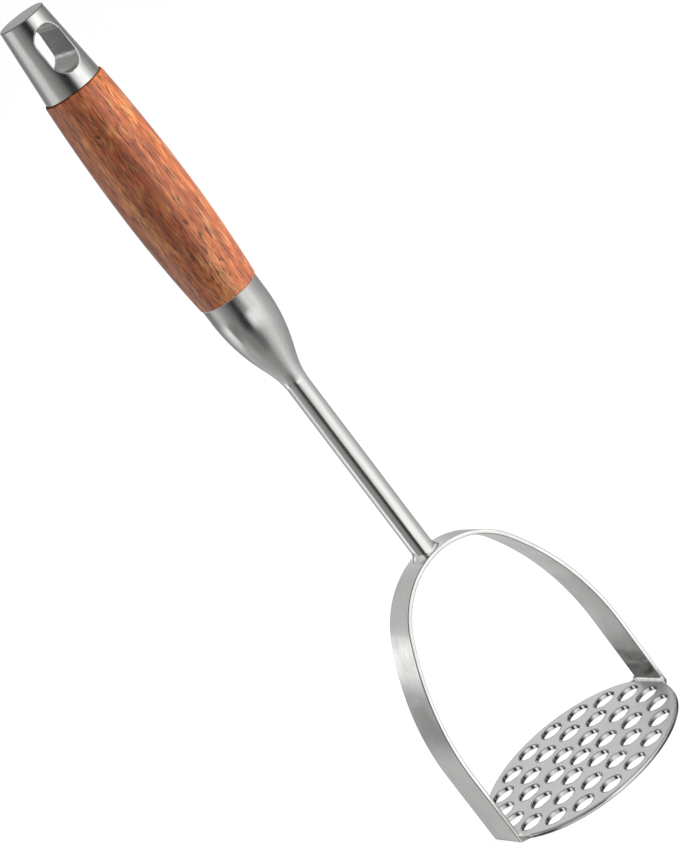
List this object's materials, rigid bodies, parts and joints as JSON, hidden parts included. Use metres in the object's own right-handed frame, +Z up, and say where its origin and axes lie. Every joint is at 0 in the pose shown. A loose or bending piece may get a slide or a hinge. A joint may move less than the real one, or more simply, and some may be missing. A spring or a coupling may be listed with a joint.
{
  "type": "potato masher",
  "caption": "Hand masher with a round holed plate hung from an arched strap, a round stem, a tapered ferrule, a turned wooden grip and a slotted metal end cap.",
  "frame": {"origin": "centre of the mashing plate's underside, on which the masher stands", "axes": "+Z up the stem and grip, X from foot to foot of the arch, Y across the strap and along the hanging slot"},
  "size_m": [0.0798, 0.077, 0.3151],
  "materials": {
    "plate_steel": "fine satin top, polished rim",
    "strap_steel": "brushed along the strip",
    "bar_steel": "polished round bar",
    "weld_steel": "dressed weld",
    "cap_steel": "fine brushed, turned",
    "grip_wood": "oiled rosewood, satin"
  },
  "bodies": {
    "root": {"mash_plate": "plate_steel", "arch_strap": "strap_steel", "foot_weld_left": "weld_steel", "foot_weld_right": "weld_steel", "neck_weld": "weld_steel", "stem": "bar_steel", "ferrule": "cap_steel", "grip": "grip_wood", "end_cap": "cap_steel"}
  },
  "joints": []
}
